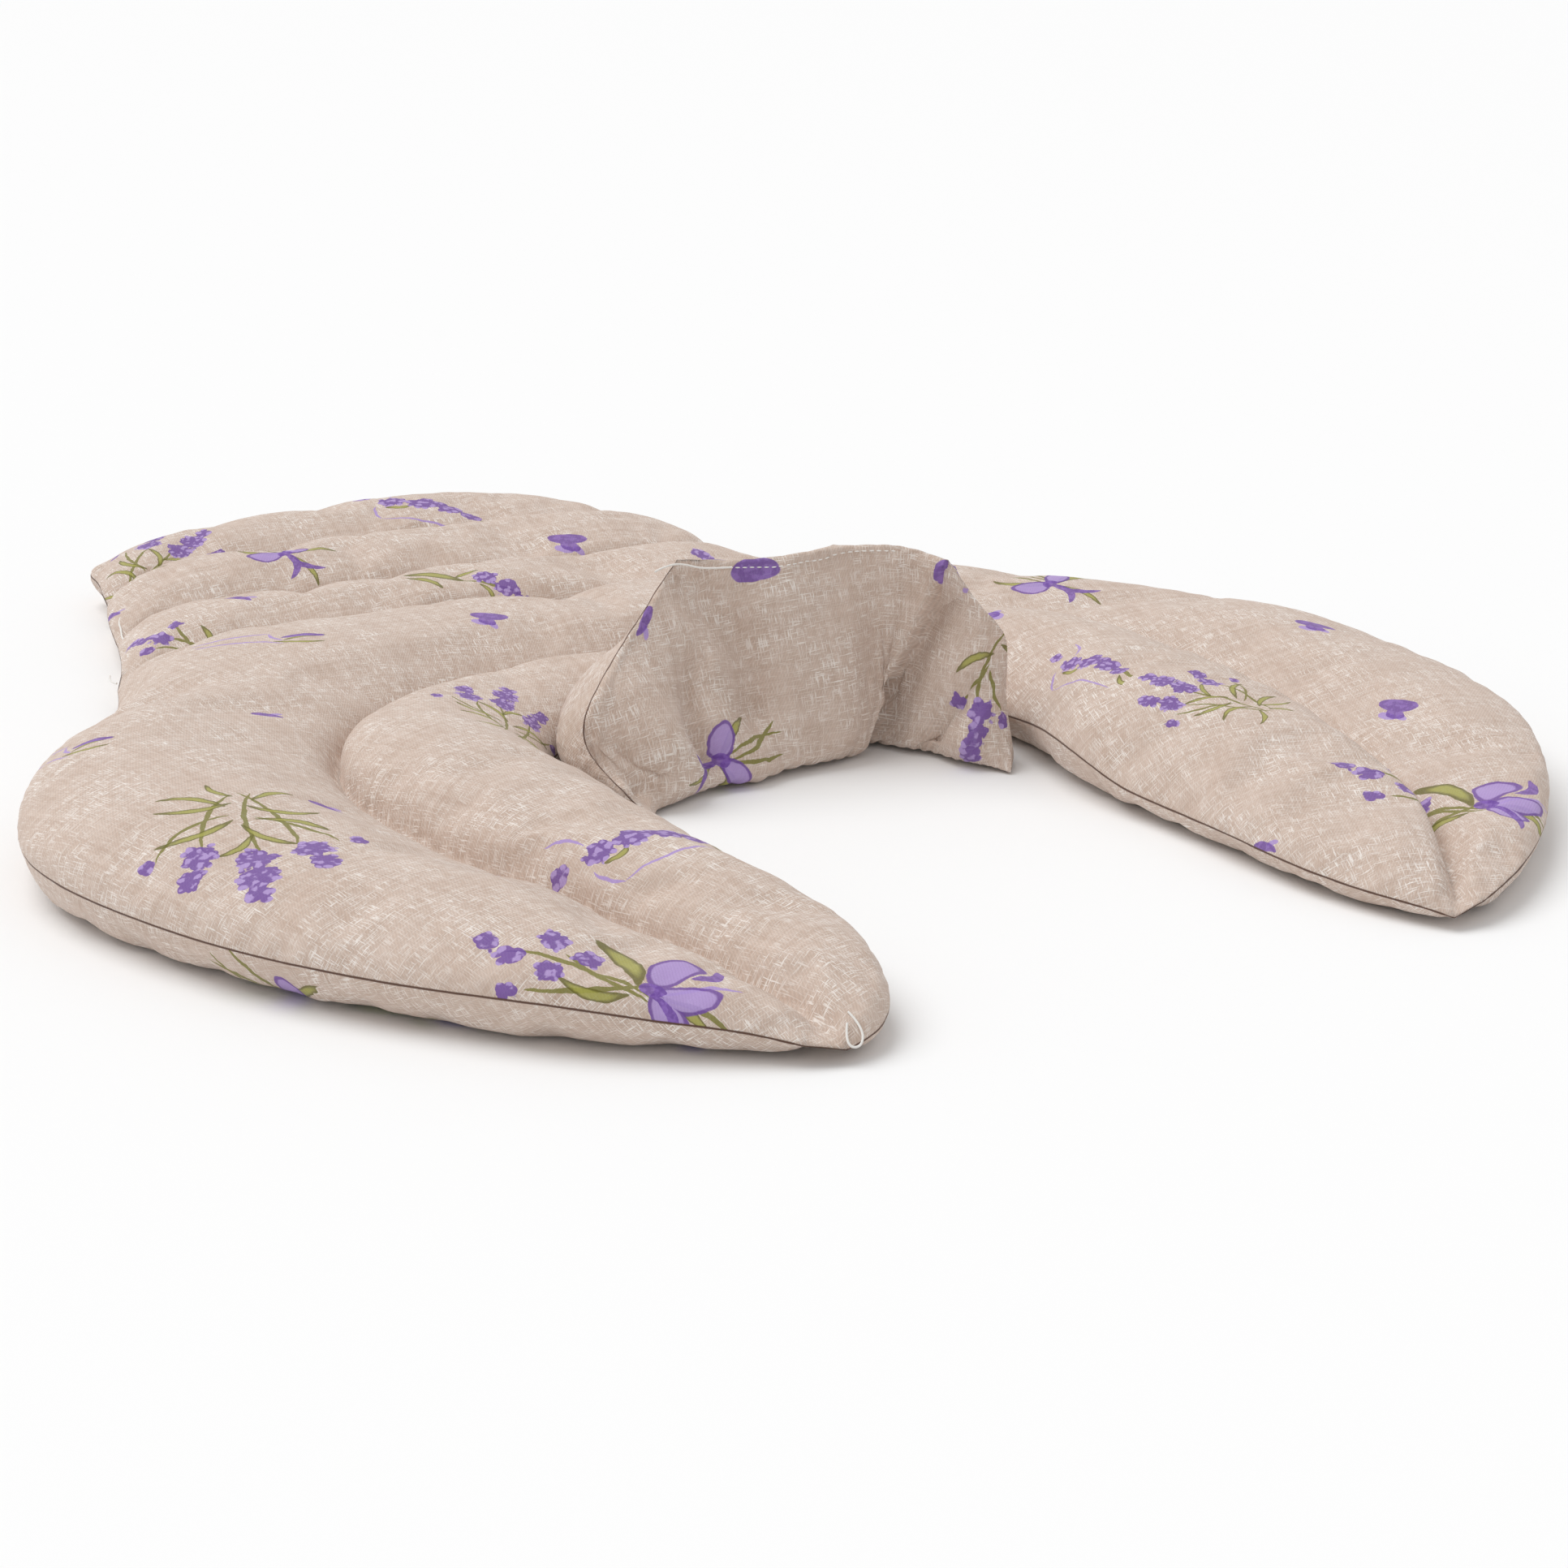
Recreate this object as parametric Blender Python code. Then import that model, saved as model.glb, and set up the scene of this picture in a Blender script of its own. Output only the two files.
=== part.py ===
# Cherry pit neck pillow: a flat filled pad that lies over the shoulders and upper back,
# with a filled collar standing up round its neck opening.
#
# The tables are in millimetres, in the pattern's own axes: +X to the wearer's one arm,
# +Y towards the back panel, Z up from the table. The arms' tips point to -Y.
# The finished pieces are moved by PLAN_SHIFT, so that the origin is under the middle of the
# pillow's box, and are built in metres.

import math

import bpy
import numpy as np
from mathutils import Vector
from mathutils.geometry import delaunay_2d_cdt

MM = 0.001
PLAN_SHIFT = (10.4, -72.6)

# How finely the pad's panels are meshed: the grid's spacing, the rows of points on each side of
# a seam, and how far the grid stays from those rows as a share of its spacing.
POINT_SPACING = 11.5
SEAM_ROW = 4.5
GRID_CLEARANCE = 0.55
ROW_CLEARANCE = 0.9
CURVE_SAMPLES = 12

# Cloth and seams. The underside lies flat on the table up to UNDERSIDE_INSET from each seam.
SEAM_THICKNESS = 2.2
UNDERSIDE_INSET = 11.0

# Height of fill at which the soft swells below reach most of their rise.
SWELL_ONSET = 12.0

# Least stiffness of a triangle's edge, and how closely the filled surface is worked out.
LEAST_STIFFNESS = 0.02
SOLVER_TOLERANCE = 1e-10
MERGE_DISTANCE = 1e-6
FAR_AWAY = 1e6

# Cut outline of the pad as one closed run of seams, clockwise from the left tip.
# Each row is x, y and the height at which the side seam lies. A run ends in a corner.
OUTLINE_RUNS = {
    "left arm outside": (
        (-107, -229, 4), (-114, -227, 5), (-128, -218, 9), (-150, -204, 12), (-173, -187, 15),
        (-206, -149, 15), (-234, -107, 15), (-254, -60, 15), (-264, -22, 15), (-266, 4, 15),
        (-260, 33, 15), (-247, 63, 15), (-222, 100, 14), (-196, 138, 12), (-181, 168, 10),
        (-174, 190, 9),
    ),
    "left edge of channel 3": ((-174, 190, 9), (-167, 205, 12), (-161, 225, 12), (-155, 245, 9)),
    "left edge of channel 2": ((-155, 245, 9), (-152, 262, 12), (-146, 284, 12), (-139, 304, 9)),
    "left edge of channel 1": ((-139, 304, 9), (-137, 318, 12), (-133, 332, 12), (-134, 347, 13)),
    "back edge": (
        (-134, 347, 13), (-120, 354, 12), (-95, 365, 12), (-50, 373, 12), (0, 374, 12),
        (45, 368, 12), (76, 355, 12), (93, 332, 12), (98, 305, 9),
    ),
    "right edge of channel 2": ((98, 305, 9), (106, 290, 12), (109, 268, 12), (107, 247, 9)),
    "right edge of channel 3": ((107, 247, 9), (112, 230, 12), (116, 210, 12), (121, 191, 9)),
    "right arm outside": (
        (121, 191, 9), (150, 170, 12), (177, 139, 14), (206, 95, 15), (228, 55, 15),
        (242, 16, 15), (245, -30, 15), (241, -76, 15), (230, -113, 15), (210, -149, 14),
        (184, -181, 12), (155, -207, 11), (132, -222, 10), (118, -227, 7), (108, -227, 4),
    ),
    "right arm inside": (
        (108, -227, 4), (103, -221, 6), (95, -204, 7), (88, -177, 8), (85, -146, 9),
        (84, -112, 9), (81, -84, 10), (79, -62, 15), (80, -46, 17),
    ),
    "neck edge behind the collar": (
        (80, -46, 17), (84, -30, 16), (88, -12, 13), (88, 8, 11), (81, 28, 10), (64, 45, 10),
        (28, 51, 10), (-28, 51, 10), (-54.5, 48, 10), (-71.5, 35, 10), (-77.5, 10, 10), (-75, -16, 9),
    ),
    "left arm inside": (
        (-75, -16, 9), (-75, -44, 10), (-77, -75, 12), (-75, -120, 12), (-72, -150, 12),
        (-73, -182, 11), (-79, -206, 10), (-88, -221, 8), (-98, -229, 6), (-107, -229, 4),
    ),
}

# Sewn lines across the pad, from edge to edge. Each row is x, y and the seam's height.
SEWN_LINES = {
    "neck seam": (
        (-107, -229, 4), (-111, -207, 7), (-117, -178, 9), (-124, -151, 10), (-135, -110, 11),
        (-144, -80, 11), (-151, -40, 12), (-155, 0, 12), (-150, 34, 13), (-137, 58, 13),
        (-104, 83, 13), (-60, 99, 12), (0, 105, 12), (60, 101, 12), (104, 90, 13),
        (140, 68, 13), (156, 34, 12), (162, -6, 12), (163, -50, 12), (161, -90, 11),
        (153, -132, 10), (144, -165, 9), (129, -196, 7), (116, -217, 5), (108, -227, 4),
    ),
    "groove at the shoulders": (
        (-174, 190, 9), (-150, 192, 11), (-80, 189, 12), (0, 188, 12), (80, 186, 12), (121, 191, 9),
    ),
    "groove across the middle": (
        (-155, 245, 9), (-135, 249, 11), (-70, 249, 12), (0, 245, 12), (70, 241, 12), (107, 247, 9),
    ),
    "groove near the back": (
        (-139, 304, 9), (-115, 310, 11), (-60, 311, 12), (0, 308, 12), (60, 304, 12), (98, 305, 9),
    ),
}

# Chambers between the seams: a point inside each, and how full it stands for its width.
CHAMBERS = {
    "neck roll": (-20, 75, 0.60),
    "shoulders and arms": (0, 150, 0.37),
    "channel 3": (0, 215, 0.46),
    "channel 2": (0, 270, 0.46),
    "channel 1": (0, 335, 0.42),
}

# Soft hollows and swells in the fill, seen across the shoulders: x, y, radius, rise.
SWELLS = (
    (-205, 60, 42, 3.0), (-232, -20, 40, 2.0), (-165, 110, 30, -2.5), (-120, 135, 34, 2.0),
    (-185, -60, 36, -2.0), (205, 30, 40, 2.0), (150, 120, 34, -2.0), (-40, 160, 36, 1.5),
    (60, 150, 34, -1.5), (115, -60, 34, 1.5), (-118, -110, 34, 1.5),
)

# Collar sections from its left end to its right end. Each row is the front foot x, y, the sewn
# free edge x, y, z, the rear foot x, y, and how far the front and the rear face swell out.
COLLAR_SECTIONS = (
    (-60, -19, -62, -18, 4, -65, -17, 1, 1),
    (-57, -12, -69, -8, 14, -70, -6, 4, 2),
    (-53, -6, -73, 3, 22, -70, 6, 7, 4),
    (-47, -3, -72, 9, 30, -63, 20, 9, 12),
    (-40, -1, -65, 13, 40, -55, 32, 10, 19.9),
    (-32, -1, -49, 23, 53, -48, 40, 8, 22),
    (-23, -1, -38, 28, 62, -42, 45, 5, 14),
    (-12, 1, -23, 34, 75, -30, 47, 3, 6),
    (4, 5, -7, 30, 74, -12, 48, 5, 4),
    (20, 7, 14, 26, 74, 8, 48, 7, 4),
    (31, 11, 34, 26, 75, 28, 48, 10, 4),
    (41, 18, 47, 17, 76, 45, 47, 2, 4),
    (48, 16, 54, 9, 76, 58, 42, -5, 4),
    (53, 6, 62, -5, 73, 70, 34, -3, 4),
    (57, -1, 67, -13, 62, 77, 24, 0, 4),
    (61, -8, 72, -19, 54, 82, 14, 2, 3),
    (65, -14, 78, -18, 47, 85, 4, 3, 2),
    (68, -19, 80, -16, 37, 86, -4, 3, 2),
    (71, -24, 80, -15, 25, 85, -10, 2, 1),
    (74, -29, 79, -22, 8, 82, -18, 1, 1),
)

# Steps of the loft between two rows, and up its front and down its rear face. The front face
# swells most a little below its middle, and the rear face keeps its swell off both its edges.
COLLAR_STEPS = 2
FRONT_STEPS = 9
REAR_STEPS = 7
FRONT_LEAN = 0.8
REAR_ROUNDING = 1.5

# Cloth colour, the same for both pieces: beige linen-look cotton.
CLOTH_COLOUR = (0.70, 0.56, 0.49)
CLOTH_ROUGHNESS = 0.9


# Remove whatever the scene holds.
def clear_scene():
    for thing in list(bpy.data.objects):
        bpy.data.objects.remove(thing)


# A smooth curve through the rows of a table, sampled about one spacing apart.
def smooth_curve(rows, spacing):
    rows = np.array(rows, float)
    chords = np.linalg.norm(np.diff(rows[:, :2], axis=0), axis=1)
    stations = np.concatenate(([0.0], np.cumsum(chords)))
    slopes = np.gradient(rows, stations, axis=0)
    fine = np.linspace(0.0, stations[-1], CURVE_SAMPLES * len(rows))
    span = np.clip(np.searchsorted(stations, fine, side="right") - 1, 0, len(chords) - 1)
    length = chords[span][:, None]
    t = ((fine - stations[span])[:, None]) / length
    curve = (
        (2 * t**3 - 3 * t**2 + 1) * rows[span]
        + (t**3 - 2 * t**2 + t) * length * slopes[span]
        + (3 * t**2 - 2 * t**3) * rows[span + 1]
        + (t**3 - t**2) * length * slopes[span + 1]
    )
    lengths = np.linalg.norm(np.diff(curve[:, :2], axis=0), axis=1)
    travelled = np.concatenate(([0.0], np.cumsum(lengths)))
    count = max(2, round(travelled[-1] / spacing))
    marks = np.linspace(0.0, travelled[-1], count + 1)
    return np.stack([np.interp(marks, travelled, curve[:, axis]) for axis in range(3)], axis=1)


# Distance of each point from the nearest of the segments.
def distance_to_segments(points, starts, ends):
    nearest = np.full(len(points), np.inf)
    for start, end in zip(starts, ends):
        along = end - start
        share = np.clip((points - start) @ along / (along @ along), 0.0, 1.0)
        nearest = np.minimum(nearest, np.linalg.norm(points - start - share[:, None] * along, axis=1))
    return nearest


# Whether each point lies inside the closed outline.
def inside_outline(points, outline):
    inside = np.zeros(len(points), bool)
    for (x0, y0), (x1, y1) in zip(outline, np.roll(outline, -1, axis=0)):
        crosses = (y0 > points[:, 1]) != (y1 > points[:, 1])
        with np.errstate(divide="ignore", invalid="ignore"):
            edge_x = x0 + (points[:, 1] - y0) * (x1 - x0) / (y1 - y0)
        inside ^= crosses & (points[:, 0] < edge_x)
    return inside


# Points of a triangular grid that fill the outline, clear of its seams by the given distance.
def grid_points(outline, starts, ends, spacing, clear):
    row_step = spacing * math.sqrt(0.75)
    low = outline.min(axis=0)
    high = outline.max(axis=0)
    rows = []
    for index, y in enumerate(np.arange(low[1], high[1], row_step)):
        xs = np.arange(low[0] + 0.5 * spacing * (index % 2), high[0], spacing)
        rows.append(np.stack([xs, np.full(len(xs), y)], axis=1))
    points = np.concatenate(rows)
    points = points[inside_outline(points, outline)]
    return points[distance_to_segments(points, starts, ends) > clear]


# A row of points on each side of every seam, which keeps the seams' valleys narrow.
def seam_rows(outline, starts, ends, offset):
    middles = 0.5 * (starts + ends)
    along = (ends - starts) / np.linalg.norm(ends - starts, axis=1)[:, None]
    across = np.stack([-along[:, 1], along[:, 0]], axis=1) * offset
    points = np.concatenate([middles + across, middles - across])
    points = points[inside_outline(points, outline)]
    return points[distance_to_segments(points, starts, ends) > ROW_CLEARANCE * offset]


# The flat panel of the pad: points, triangles, seam heights, which points are sewn, which of
# them lie on the outline, and each point's distance from the nearest seam.
def flat_panel():
    spacing = POINT_SPACING
    outline = np.concatenate([smooth_curve(rows, spacing)[:-1] for rows in OUTLINE_RUNS.values()])
    points = [tuple(point) for point in outline]
    edges = [(i, (i + 1) % len(outline)) for i in range(len(outline))]
    for rows in SEWN_LINES.values():
        line = smooth_curve(rows, spacing)
        first = int(np.argmin(np.linalg.norm(outline[:, :2] - line[0, :2], axis=1)))
        last = int(np.argmin(np.linalg.norm(outline[:, :2] - line[-1, :2], axis=1)))
        chain = [first] + [len(points) + i for i in range(len(line) - 2)] + [last]
        points += [tuple(point) for point in line[1:-1]]
        edges += list(zip(chain[:-1], chain[1:]))
    sewn = np.array(points)
    starts = sewn[[a for a, _ in edges], :2]
    ends = sewn[[b for _, b in edges], :2]
    beside = seam_rows(outline[:, :2], starts, ends, SEAM_ROW)
    clear = SEAM_ROW + GRID_CLEARANCE * spacing
    filling = grid_points(outline[:, :2], starts, ends, spacing, clear)
    flat = np.concatenate([sewn[:, :2], beside, filling])
    found = delaunay_2d_cdt([Vector(point) for point in flat], edges, [], 1, MERGE_DISTANCE)
    places, triangles, sources = found[0], found[2], found[3]
    order = np.array([source[0] for source in sources])
    panel = np.array([tuple(place) for place in places])
    heights = np.zeros(len(panel))
    is_sewn = order < len(sewn)
    is_outline = order < len(outline)
    heights[is_sewn] = sewn[order[is_sewn], 2]
    from_seam = distance_to_segments(panel, starts, ends)
    return panel, np.array(triangles), heights, is_sewn, is_outline, from_seam


# Stiffness of each triangle edge, and the area that belongs to each point.
def edge_weights(panel, triangles):
    firsts, seconds, weights = [], [], []
    areas = np.zeros(len(panel))
    for corner in range(3):
        a = triangles[:, corner]
        b = triangles[:, (corner + 1) % 3]
        c = triangles[:, (corner + 2) % 3]
        to_a = panel[a] - panel[c]
        to_b = panel[b] - panel[c]
        twice_area = np.abs(to_a[:, 0] * to_b[:, 1] - to_a[:, 1] * to_b[:, 0])
        firsts.append(a)
        seconds.append(b)
        stiffness = 0.5 * (to_a * to_b).sum(axis=1) / twice_area
        weights.append(np.maximum(stiffness, LEAST_STIFFNESS))
        np.add.at(areas, c, twice_area / 6.0)
    return np.concatenate(firsts), np.concatenate(seconds), np.concatenate(weights), areas


# A membrane over the panel that is held at the sewn points and loaded elsewhere.
# Solved by conjugate gradients.
def membrane(edges, free, held, load):
    first, second, weight = edges
    count = len(free)

    def pull(values):
        flow = weight * (values[first] - values[second])
        return np.bincount(first, flow, count) - np.bincount(second, flow, count)

    surface = np.where(free, 0.0, held)
    residual = np.where(free, load - pull(surface), 0.0)
    direction = residual.copy()
    strength = residual @ residual
    target = SOLVER_TOLERANCE * strength
    while strength > target:
        pulled = np.where(free, pull(direction), 0.0)
        step = strength / (direction @ pulled)
        surface = surface + step * direction
        residual = residual - step * pulled
        previous, strength = strength, residual @ residual
        direction = residual + (strength / previous) * direction
    return surface


# Fullness of the chamber that each free point lies in, found by spreading from a point inside.
def chamber_crowns(panel, triangles, is_sewn):
    neighbours = [[] for _ in panel]
    for a, b, c in triangles.tolist():
        neighbours[a] += (b, c)
        neighbours[b] += (a, c)
        neighbours[c] += (a, b)
    crowns = np.zeros(len(panel))
    for x, y, crown in CHAMBERS.values():
        gaps = np.linalg.norm(panel - (x, y), axis=1) + FAR_AWAY * is_sewn
        reached = [int(np.argmin(gaps))]
        crowns[reached[0]] = crown
        while reached:
            for neighbour in neighbours[reached.pop()]:
                if not is_sewn[neighbour] and crowns[neighbour] == 0.0:
                    crowns[neighbour] = crown
                    reached.append(neighbour)
    return crowns


# Upper and lower heights of the filled pad over its flat panel.
def filled_heights(panel, triangles, seam_heights, is_sewn, is_outline, from_seam):
    first, second, weight, areas = edge_weights(panel, triangles)
    edges = (first, second, weight)
    middle = membrane(edges, ~is_sewn, seam_heights, np.zeros(len(panel)))
    loaded = membrane(edges, ~is_sewn, np.zeros(len(panel)), areas)
    swell = np.sqrt(2.0 * np.maximum(loaded, 0.0))
    crowns = chamber_crowns(panel, triangles, is_sewn)
    lumps = np.zeros(len(panel))
    for x, y, radius, rise in SWELLS:
        lumps += rise * np.exp(-((panel - (x, y)) ** 2).sum(axis=1) / radius**2)
    fullness = 1.0 - np.exp(-swell / SWELL_ONSET)
    top = middle + crowns * swell + lumps * fullness
    inset = np.clip(1.0 - from_seam / UNDERSIDE_INSET, 0.0, 1.0)
    bottom = middle * (1.0 - np.sqrt(1.0 - inset**2))
    stitched = is_sewn & ~is_outline
    top[stitched] += 0.5 * SEAM_THICKNESS
    bottom[stitched] = middle[stitched] - 0.5 * SEAM_THICKNESS
    return top, bottom


# Joins the upper and lower panels along the outline into one closed body.
def pad_mesh():
    panel, triangles, seam_heights, is_sewn, is_outline, from_seam = flat_panel()
    top, bottom = filled_heights(panel, triangles, seam_heights, is_sewn, is_outline, from_seam)
    top[is_outline] = seam_heights[is_outline]
    upper = [(x, y, z) for (x, y), z in zip(panel, top)]
    lower_index = np.arange(len(panel))
    lower_index[~is_outline] = len(upper) + np.arange((~is_outline).sum())
    lower = [(x, y, z) for (x, y), z in zip(panel[~is_outline], bottom[~is_outline])]
    faces = [tuple(face) for face in triangles.tolist()]
    faces += [tuple(lower_index[face][::-1].tolist()) for face in triangles]
    return upper + lower, faces


# One closed section of the collar: up the front face, over the sewn edge, down the rear face.
def collar_section(row):
    front_x, front_y, edge_x, edge_y, edge_z, rear_x, rear_y, front_swell, rear_swell = row
    front_foot = np.array((front_x, front_y, 0.0))
    edge = np.array((edge_x, edge_y, edge_z))
    rear_foot = np.array((rear_x, rear_y, 0.0))
    outward = front_foot - rear_foot
    outward = outward / np.linalg.norm(outward)
    points = []
    for step in range(FRONT_STEPS + 1):
        t = step / FRONT_STEPS
        swell = front_swell * math.sin(math.pi * t**FRONT_LEAN)
        points.append(front_foot + t * (edge - front_foot) + swell * outward)
    for step in range(1, REAR_STEPS + 1):
        t = step / REAR_STEPS
        swell = rear_swell * math.sin(math.pi * t) ** REAR_ROUNDING
        points.append(edge + t * (rear_foot - edge) - swell * outward)
    return points


# The collar as a loft along its sections, which change shape from one to the next.
def collar_mesh():
    table = np.array(COLLAR_SECTIONS, float)
    stations = np.arange(len(table))
    slopes = np.gradient(table, axis=0)
    sections = []
    for mark in np.linspace(0, len(table) - 1, COLLAR_STEPS * (len(table) - 1) + 1):
        span = min(int(mark), len(table) - 2)
        t = mark - stations[span]
        row = (
            (2 * t**3 - 3 * t**2 + 1) * table[span]
            + (t**3 - 2 * t**2 + t) * slopes[span]
            + (3 * t**2 - 2 * t**3) * table[span + 1]
            + (t**3 - t**2) * slopes[span + 1]
        )
        sections.append(collar_section(row))
    ring = len(sections[0])
    points = [tuple(point) for section in sections for point in section]
    faces = []
    for index in range(len(sections) - 1):
        near = index * ring
        far = near + ring
        for i in range(ring):
            j = (i + 1) % ring
            faces.append((near + i, far + i, far + j, near + j))
    faces.append(tuple(range(ring)))
    faces.append(tuple(range(far + ring - 1, far - 1, -1)))
    return points, faces


# Material of the woven cloth.
def cloth_material(name):
    material = bpy.data.materials.new(name)
    material.use_nodes = True
    shader = material.node_tree.nodes["Principled BSDF"]
    shader.inputs["Base Color"].default_value = (*CLOTH_COLOUR, 1.0)
    shader.inputs["Roughness"].default_value = CLOTH_ROUGHNESS
    shader.inputs["Metallic"].default_value = 0.0
    return material


# Makes a named object in metres from points in millimetres.
def add_piece(collection, name, points, faces):
    shifted = [((x + PLAN_SHIFT[0]) * MM, (y + PLAN_SHIFT[1]) * MM, z * MM) for x, y, z in points]
    mesh = bpy.data.meshes.new(name)
    mesh.from_pydata(shifted, [], faces)
    mesh.validate()
    mesh.materials.append(cloth_material(name + " cotton"))
    mesh.shade_smooth()
    piece = bpy.data.objects.new(name, mesh)
    collection.objects.link(piece)
    return piece


def main():
    clear_scene()
    collection = bpy.data.collections.new("cherry_pit_neck_pillow")
    bpy.context.scene.collection.children.link(collection)
    add_piece(collection, "pad", *pad_mesh())
    add_piece(collection, "collar", *collar_mesh())


main()
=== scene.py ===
import math

import bmesh
import bpy
import numpy as np
from mathutils import Matrix, Vector
from mathutils.kdtree import KDTree


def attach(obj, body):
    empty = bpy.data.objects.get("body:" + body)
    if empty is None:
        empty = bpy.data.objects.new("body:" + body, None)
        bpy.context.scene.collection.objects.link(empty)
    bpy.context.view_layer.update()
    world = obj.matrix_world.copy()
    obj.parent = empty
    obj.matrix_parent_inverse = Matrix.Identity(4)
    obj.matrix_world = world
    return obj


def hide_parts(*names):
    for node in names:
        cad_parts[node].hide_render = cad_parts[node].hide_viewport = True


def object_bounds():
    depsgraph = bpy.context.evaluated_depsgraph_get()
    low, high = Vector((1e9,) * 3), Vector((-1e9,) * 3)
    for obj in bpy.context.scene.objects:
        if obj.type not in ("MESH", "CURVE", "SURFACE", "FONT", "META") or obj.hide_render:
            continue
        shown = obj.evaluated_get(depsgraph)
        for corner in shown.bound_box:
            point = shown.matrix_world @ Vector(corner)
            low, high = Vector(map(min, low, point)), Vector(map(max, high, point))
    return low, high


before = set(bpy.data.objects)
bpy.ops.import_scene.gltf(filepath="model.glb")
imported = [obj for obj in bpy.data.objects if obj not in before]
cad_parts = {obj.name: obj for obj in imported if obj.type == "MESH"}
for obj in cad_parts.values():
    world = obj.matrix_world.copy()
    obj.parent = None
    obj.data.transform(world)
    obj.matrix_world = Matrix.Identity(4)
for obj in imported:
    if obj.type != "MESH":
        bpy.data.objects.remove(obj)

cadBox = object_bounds()
mm = 0.001

# Where the photo was taken from, and the light that it was taken in.
studio = {
    "cameraAt": (-0.5532, -1.0893, 0.3777),
    "cameraAim": (0.0104, -0.0726, 0.0),
    "lens": 81.5,
    "sensor": 36.0,
    "floorColour": "#f7f7f7",
    "floorSize": 12,
    "floorDepth": 0.4 * mm,  # just under the pillow, so that the two don't share a plane
    "skyStrength": 0.62,
    "sunStrength": 1.6,
    "sunAngle": math.radians(50),  # a wide sun casts soft shadows
    "sunDirection": (0.35, -0.45, -1.0),
}
mergeDistance = 0.02 * mm
wholeWeight = 0.99  # points with at least this weight belong to a seam


def deselectAll():
    if bpy.context.object and bpy.context.object.mode != "OBJECT":
        bpy.ops.object.mode_set(mode="OBJECT")
    bpy.ops.object.select_all(action="DESELECT")


def pickOnly(piece):
    deselectAll()
    piece.select_set(True)
    bpy.context.view_layer.objects.active = piece


# A copy of a CAD node's mesh with its loose triangles merged, as a piece of its own.
def copyOfNode(node, name):
    piece = bpy.data.objects.new(name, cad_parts[node].data.copy())
    bpy.context.scene.collection.objects.link(piece)
    piece.data.materials.clear()
    mesh = bmesh.new()
    mesh.from_mesh(piece.data)
    bmesh.ops.remove_doubles(mesh, verts=mesh.verts, dist=mergeDistance)
    mesh.to_mesh(piece.data)
    mesh.free()
    return piece


# One value of every item, such as each point's place, as rows of the given width.
def readAll(items, name, width):
    flat = np.empty(width * len(items), np.float32)
    items.foreach_get(name, flat)
    return flat.reshape(-1, width).astype(float) if width > 1 else flat.astype(float)


def setPoints(piece, places):
    piece.data.vertices.foreach_set("co", places.astype(np.float32).ravel())
    piece.data.update()


def applyModifier(piece, kind, **settings):
    pickOnly(piece)
    modifier = piece.modifiers.new(kind.lower(), kind)
    for key, value in settings.items():
        setattr(modifier, key, value)
    bpy.ops.object.modifier_apply(modifier=modifier.name)


# Finds the nearest of the given places quickly.
def nearestTree(places):
    tree = KDTree(len(places))
    for i, place in enumerate(places):
        tree.insert(place, i)
    tree.balance()
    return tree


# Points that lie wholly on a named seam, also after subdivision, which gives their neighbours a lower weight.
def onSeam(piece, name):
    index = piece.vertex_groups[name].index
    found = np.zeros(len(piece.data.vertices), bool)
    for vert in piece.data.vertices:
        for member in vert.groups:
            if member.group == index and member.weight > wholeWeight:
                found[vert.index] = True
    return found


def addGroup(piece, name, members):
    group = piece.vertex_groups.get(name) or piece.vertex_groups.new(name=name)
    group.add([int(i) for i in members], 1.0, "REPLACE")


# For each point: its distance from a line of places, how far along the line it is nearest, from 0 to 1, and
# whether it lies left of the line as seen on the cloth.
def fromLine(places, facing, line):
    nearest = np.full(len(places), np.inf)
    progress = np.zeros(len(places))
    left = np.zeros(len(places), bool)
    for number, (a, b) in enumerate(zip(line[:-1], line[1:])):
        share = np.clip((places - a) @ (b - a) / ((b - a) @ (b - a)), 0, 1)
        offset = places - a - share[:, None] * (b - a)
        distance = np.linalg.norm(offset, axis=1)
        closer = distance < nearest
        nearest[closer] = distance[closer]
        progress[closer] = (number + share[closer]) / (len(line) - 1)
        left[closer] = (np.cross(facing, b - a) * offset).sum(axis=1)[closer] > 0
    return nearest, progress, left


# Raises and presses the front panel's cloth along listed lines, which are first laid onto the cloth.
def foldCloth(piece, folds):
    places = readAll(piece.data.vertices, "co", 3)
    facing = readAll(piece.data.vertices, "normal", 3)
    front = np.zeros(len(places), bool)
    panel = readAll(piece.data.attributes["panel"].data, "value", 1)
    for face in piece.data.polygons:
        if panel[face.index] == 0:
            front[list(face.vertices)] = True
    front &= ~onSeam(piece, "held")
    moved = places.copy()
    for leftRise, rightRise, width, start, line in folds["lines"].values():
        laid = [np.array(piece.closest_point_on_mesh(Vector(place) * mm)[1]) for place in line]
        distance, progress, left = fromLine(places, facing, laid)
        rise = np.where(left, leftRise, rightRise) * (start + (1 - start) * progress)
        share = np.exp(-(distance / (width * mm)) ** folds["sharpness"]) * front
        moved += facing * (share * rise * mm)[:, None]
    moved[:, 2] = np.maximum(moved[:, 2], 0)
    setPoints(piece, moved)
    print(piece.name, "folded along", len(folds["lines"]), "lines")


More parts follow.
